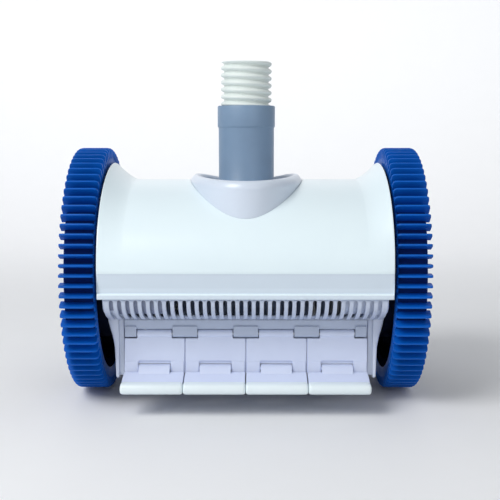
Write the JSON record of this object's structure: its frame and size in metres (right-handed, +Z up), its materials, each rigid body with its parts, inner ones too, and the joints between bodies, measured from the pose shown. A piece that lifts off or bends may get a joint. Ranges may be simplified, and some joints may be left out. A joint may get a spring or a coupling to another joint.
{
  "type": "suction pool cleaner",
  "caption": "Two-wheel suction pool cleaner with a domed shell, swivelling hose tube, blue ribbed tyres and rows of hinged floor flaps.",
  "frame": {"origin": "bottom centre: on the floor under the wheels' common axis, midway between the wheels", "axes": "+X to the cleaner's right along the wheel axis, +Y to the rear, +Z up along the hose tube"},
  "size_m": [0.318, 0.23, 0.31],
  "materials": {
    "shell_white": "gloss",
    "collar_white": "satin",
    "tube_grey": "satin",
    "hose_white": "satin",
    "body_grey": "satin",
    "flap_lavender": "satin",
    "tread_blue": "matte",
    "hub_dark": "matte",
    "steel": "brushed",
    "gear_black": "matte"
  },
  "bodies": {
    "body": {"upper_shell": "shell_white", "hose_collar": "collar_white", "swivel_bearing_ring": "tube_grey", "base_pan": "body_grey", "intake_throat": "body_grey", "turbine_chamber": "body_grey", "front_grille": "body_grey", "rear_grille": "body_grey", "front_flap_rod": "steel", "rear_flap_rod": "steel", "left_side_plate": "body_grey", "left_axle": "steel", "left_wheel_screw": "steel", "left_turbine_bearing": "gear_black", "right_side_plate": "body_grey", "right_axle": "steel", "right_wheel_screw": "steel", "right_turbine_bearing": "gear_black"},
    "hose_swivel": {"swivel_tube": "tube_grey", "hose_end": "hose_white"},
    "left_wheel": {"left_tyre": "tread_blue", "left_wheel_hub": "hub_dark", "left_wheel_bush": "gear_black", "left_hub_cap": "hub_dark"},
    "right_wheel": {"right_tyre": "tread_blue", "right_wheel_hub": "hub_dark", "right_wheel_bush": "gear_black", "right_hub_cap": "hub_dark"},
    "turbine": {"turbine_rotor": "gear_black", "left_pinion": "gear_black", "right_pinion": "gear_black"},
    "left_idler": {"left_idler_gear": "gear_black"},
    "right_idler": {"right_idler_gear": "gear_black"},
    "vane_1": {"turbine_vane_1": "gear_black"},
    "vane_2": {"turbine_vane_2": "gear_black"},
    "vane_3": {"turbine_vane_3": "gear_black"},
    "vane_4": {"turbine_vane_4": "gear_black"},
    "vane_5": {"turbine_vane_5": "gear_black"},
    "vane_6": {"turbine_vane_6": "gear_black"},
    "front_upper_1": {"front_upper_flap_1": "flap_lavender"},
    "front_foot_1": {"front_lower_flap_1": "flap_lavender"},
    "front_upper_2": {"front_upper_flap_2": "flap_lavender"},
    "front_foot_2": {"front_lower_flap_2": "flap_lavender"},
    "front_upper_3": {"front_upper_flap_3": "flap_lavender"},
    "front_foot_3": {"front_lower_flap_3": "flap_lavender"},
    "front_upper_4": {"front_upper_flap_4": "flap_lavender"},
    "front_foot_4": {"front_lower_flap_4": "flap_lavender"},
    "rear_upper_1": {"rear_upper_flap_1": "flap_lavender"},
    "rear_foot_1": {"rear_lower_flap_1": "flap_lavender"},
    "rear_upper_2": {"rear_upper_flap_2": "flap_lavender"},
    "rear_foot_2": {"rear_lower_flap_2": "flap_lavender"},
    "rear_upper_3": {"rear_upper_flap_3": "flap_lavender"},
    "rear_foot_3": {"rear_lower_flap_3": "flap_lavender"},
    "rear_upper_4": {"rear_upper_flap_4": "flap_lavender"},
    "rear_foot_4": {"rear_lower_flap_4": "flap_lavender"}
  },
  "joints": [
    {"name": "hose_turn", "type": "hinge", "parent": "body", "child": "hose_swivel", "pos_m": [0, 0, 0.19], "axis": [0, 0, 1], "continuous": true},
    {"name": "left_wheel_spin", "type": "hinge", "parent": "body", "child": "left_wheel", "pos_m": [0, 0, 0.115], "axis": [1, 0, 0], "continuous": true},
    {"name": "right_wheel_spin", "type": "hinge", "parent": "body", "child": "right_wheel", "pos_m": [0, 0, 0.115], "axis": [1, 0, 0], "continuous": true},
    {"name": "turbine_spin", "type": "hinge", "parent": "body", "child": "turbine", "pos_m": [0, 0, 0.135], "axis": [1, 0, 0], "continuous": true},
    {"name": "left_idler_spin", "type": "hinge", "parent": "body", "child": "left_idler", "pos_m": [0, 0.02395, 0.1495], "axis": [1, 0, 0], "continuous": true},
    {"name": "right_idler_spin", "type": "hinge", "parent": "body", "child": "right_idler", "pos_m": [0, 0.02395, 0.1495], "axis": [1, 0, 0], "continuous": true},
    {"name": "vane_1_swing", "type": "hinge", "parent": "turbine", "child": "vane_1", "pos_m": [0, 0.015, 0.135], "axis": [1, 0, 0], "range_deg": [-20, 20]},
    {"name": "vane_2_swing", "type": "hinge", "parent": "turbine", "child": "vane_2", "pos_m": [0, 0.0075, 0.14799], "axis": [1, 0, 0], "range_deg": [-20, 20]},
    {"name": "vane_3_swing", "type": "hinge", "parent": "turbine", "child": "vane_3", "pos_m": [0, -0.0075, 0.14799], "axis": [1, 0, 0], "range_deg": [-20, 20]},
    {"name": "vane_4_swing", "type": "hinge", "parent": "turbine", "child": "vane_4", "pos_m": [0, -0.015, 0.135], "axis": [1, 0, 0], "range_deg": [-20, 20]},
    {"name": "vane_5_swing", "type": "hinge", "parent": "turbine", "child": "vane_5", "pos_m": [0, -0.0075, 0.12201], "axis": [1, 0, 0], "range_deg": [-20, 20]},
    {"name": "vane_6_swing", "type": "hinge", "parent": "turbine", "child": "vane_6", "pos_m": [0, 0.0075, 0.12201], "axis": [1, 0, 0], "range_deg": [-20, 20]},
    {"name": "front_upper_1_swing", "type": "hinge", "parent": "body", "child": "front_upper_1", "pos_m": [-0.0813, -0.077, 0.0668], "axis": [-1, 0, 0], "range_deg": [0, 28]},
    {"name": "front_foot_1_swing", "type": "hinge", "parent": "front_upper_1", "child": "front_foot_1", "pos_m": [-0.0813, -0.0814, 0.036], "axis": [-1, 0, 0], "range_deg": [0, 40]},
    {"name": "front_upper_2_swing", "type": "hinge", "parent": "body", "child": "front_upper_2", "pos_m": [-0.0271, -0.077, 0.0668], "axis": [-1, 0, 0], "range_deg": [0, 28]},
    {"name": "front_foot_2_swing", "type": "hinge", "parent": "front_upper_2", "child": "front_foot_2", "pos_m": [-0.0271, -0.0814, 0.036], "axis": [-1, 0, 0], "range_deg": [0, 40]},
    {"name": "front_upper_3_swing", "type": "hinge", "parent": "body", "child": "front_upper_3", "pos_m": [0.0271, -0.077, 0.0668], "axis": [-1, 0, 0], "range_deg": [0, 28]},
    {"name": "front_foot_3_swing", "type": "hinge", "parent": "front_upper_3", "child": "front_foot_3", "pos_m": [0.0271, -0.0814, 0.036], "axis": [-1, 0, 0], "range_deg": [0, 40]},
    {"name": "front_upper_4_swing", "type": "hinge", "parent": "body", "child": "front_upper_4", "pos_m": [0.0813, -0.077, 0.0668], "axis": [-1, 0, 0], "range_deg": [0, 28]},
    {"name": "front_foot_4_swing", "type": "hinge", "parent": "front_upper_4", "child": "front_foot_4", "pos_m": [0.0813, -0.0814, 0.036], "axis": [-1, 0, 0], "range_deg": [0, 40]},
    {"name": "rear_upper_1_swing", "type": "hinge", "parent": "body", "child": "rear_upper_1", "pos_m": [-0.0813, 0.077, 0.0668], "axis": [1, 0, 0], "range_deg": [0, 28]},
    {"name": "rear_foot_1_swing", "type": "hinge", "parent": "rear_upper_1", "child": "rear_foot_1", "pos_m": [-0.0813, 0.0814, 0.036], "axis": [1, 0, 0], "range_deg": [0, 40]},
    {"name": "rear_upper_2_swing", "type": "hinge", "parent": "body", "child": "rear_upper_2", "pos_m": [-0.0271, 0.077, 0.0668], "axis": [1, 0, 0], "range_deg": [0, 28]},
    {"name": "rear_foot_2_swing", "type": "hinge", "parent": "rear_upper_2", "child": "rear_foot_2", "pos_m": [-0.0271, 0.0814, 0.036], "axis": [1, 0, 0], "range_deg": [0, 40]},
    {"name": "rear_upper_3_swing", "type": "hinge", "parent": "body", "child": "rear_upper_3", "pos_m": [0.0271, 0.077, 0.0668], "axis": [1, 0, 0], "range_deg": [0, 28]},
    {"name": "rear_foot_3_swing", "type": "hinge", "parent": "rear_upper_3", "child": "rear_foot_3", "pos_m": [0.0271, 0.0814, 0.036], "axis": [1, 0, 0], "range_deg": [0, 40]},
    {"name": "rear_upper_4_swing", "type": "hinge", "parent": "body", "child": "rear_upper_4", "pos_m": [0.0813, 0.077, 0.0668], "axis": [1, 0, 0], "range_deg": [0, 28]},
    {"name": "rear_foot_4_swing", "type": "hinge", "parent": "rear_upper_4", "child": "rear_foot_4", "pos_m": [0.0813, 0.0814, 0.036], "axis": [1, 0, 0], "range_deg": [0, 40]}
  ],
  "couplings": [
    {"joint": "right_wheel_spin", "follows": "left_wheel_spin", "ratio": 1},
    {"joint": "turbine_spin", "follows": "left_wheel_spin", "ratio": -6},
    {"joint": "left_idler_spin", "follows": "left_wheel_spin", "ratio": 3.3333},
    {"joint": "right_idler_spin", "follows": "left_wheel_spin", "ratio": 3.3333}
  ]
}
